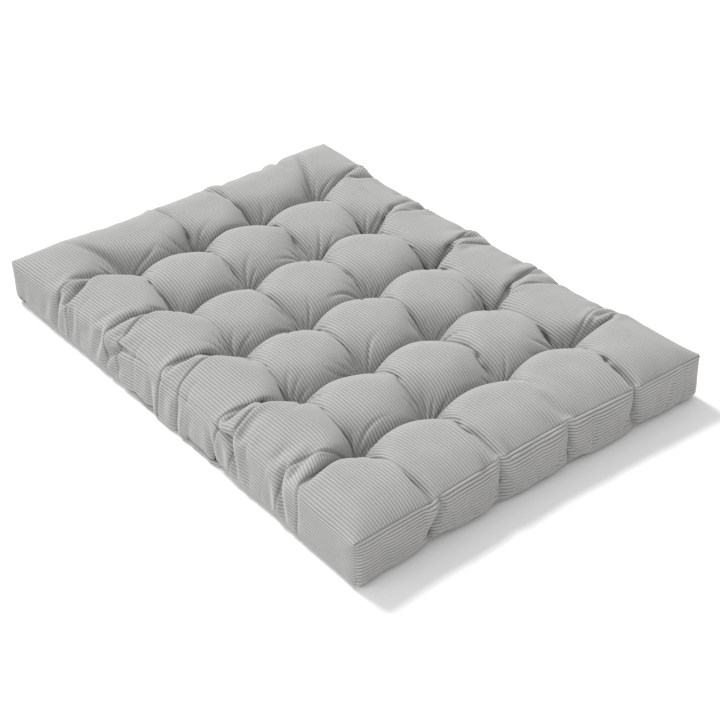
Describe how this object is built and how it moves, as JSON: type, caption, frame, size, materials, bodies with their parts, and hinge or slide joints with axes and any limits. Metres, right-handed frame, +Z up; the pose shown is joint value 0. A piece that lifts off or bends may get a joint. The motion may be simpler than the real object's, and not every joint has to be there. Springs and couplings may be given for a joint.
{
  "type": "futon mattress",
  "caption": "Tufted futon mattress pad in wide-wale corduroy, with a pillowed cover, ribbed end borders, foam core, wadding, twine tufts and seam threads.",
  "frame": {"origin": "on the floor, under the middle of the pad's bounding box", "axes": "+X across the pad, +Y along it from the front short end to the back one, +Z up through its thickness"},
  "size_m": [0.8, 1.14, 0.118],
  "materials": {
    "corduroy": "matte",
    "border_corduroy": "matte",
    "seam_thread": "satin",
    "tuft_twine": "satin",
    "wadding": "matte",
    "foam": "matte"
  },
  "bodies": {
    "root": {"main_cover": "corduroy", "bottom_panel": "corduroy", "front_border": "border_corduroy", "back_border": "border_corduroy", "top_seam_threads": "seam_thread", "bottom_seam_thread": "seam_thread", "corner_seam_threads": "seam_thread", "upper_wadding": "wadding", "foam_core": "foam", "lower_wadding": "wadding", "tuft_twines": "tuft_twine", "edge_ties": "tuft_twine"}
  },
  "joints": []
}
